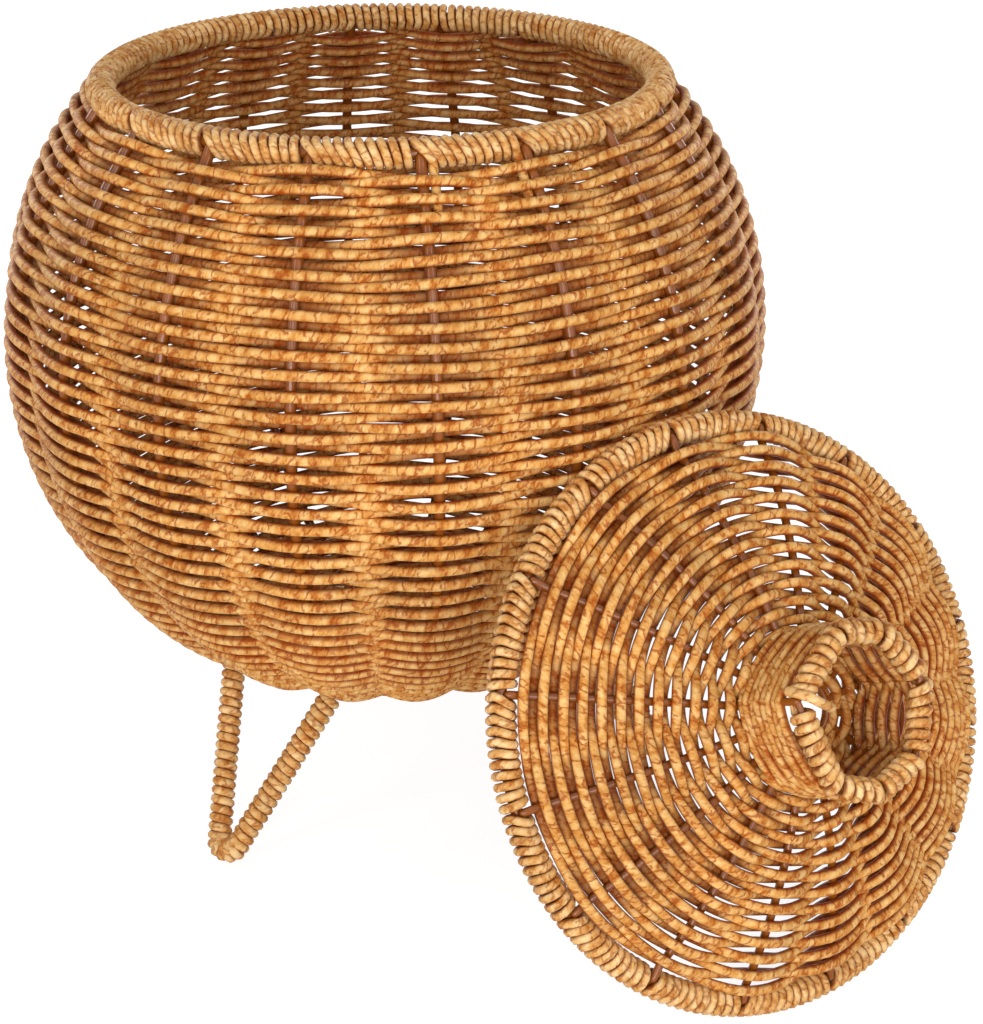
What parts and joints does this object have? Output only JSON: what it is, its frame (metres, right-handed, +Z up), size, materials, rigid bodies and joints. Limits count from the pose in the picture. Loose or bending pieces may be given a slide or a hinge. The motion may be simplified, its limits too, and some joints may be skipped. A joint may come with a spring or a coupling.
{
  "type": "woven storage basket",
  "caption": "Ball-shaped woven basket on cord-wrapped hairpin legs, with a wide ringed mouth and a lift-off domed lid that has a hollow woven knob, for storing small things.",
  "frame": {"origin": "centre of the whole part's footprint, with the lid leaning as stored, on the floor", "axes": "+Z up, -Y towards the front, where the lid leans, and +X to the right seen from the front"},
  "size_m": [0.3106, 0.3114, 0.2486],
  "materials": {
    "cord": "twisted paper cord, tan, satin",
    "wire": "brown coating, glossy"
  },
  "bodies": {
    "basket": {"body_weave": "cord", "mouth_ring": "wire", "mouth_wrap": "cord", "base_frame": "wire", "rib_01": "wire", "rib_02": "wire", "rib_03": "wire", "rib_04": "wire", "rib_05": "wire", "rib_06": "wire", "rib_07": "wire", "rib_08": "wire", "rib_09": "wire", "rib_10": "wire", "rib_11": "wire", "rib_12": "wire", "rib_13": "wire", "rib_14": "wire", "rib_15": "wire", "rib_16": "wire", "rib_17": "wire", "rib_18": "wire", "leg_wire_1": "wire", "toe_wrap_1": "cord", "leg_wrap_1_left": "cord", "leg_wrap_1_right": "cord", "leg_wire_2": "wire", "toe_wrap_2": "cord", "leg_wrap_2_left": "cord", "leg_wrap_2_right": "cord", "leg_wire_3": "wire", "toe_wrap_3": "cord", "leg_wrap_3_left": "cord", "leg_wrap_3_right": "cord"},
    "lid": {"lid_weave": "cord", "lid_ring": "wire", "lid_wrap": "cord", "lid_hub_ring": "wire", "lid_spoke_01": "wire", "lid_spoke_02": "wire", "lid_spoke_03": "wire", "lid_spoke_04": "wire", "lid_spoke_05": "wire", "lid_spoke_06": "wire", "lid_spoke_07": "wire", "lid_spoke_08": "wire", "lid_spoke_09": "wire", "lid_spoke_10": "wire", "lid_spoke_11": "wire", "lid_spoke_12": "wire", "lid_spoke_13": "wire", "lid_spoke_14": "wire", "lid_spoke_15": "wire", "lid_spoke_16": "wire", "knob_frame": "wire", "knob_weave": "cord", "knob_wrap": "cord"}
  },
  "joints": [
    {"name": "lid_lift", "type": "slide", "parent": "basket", "child": "lid", "axis": [0.4759, -0.7705, 0.4242], "range_m": [0, 0.12]}
  ]
}
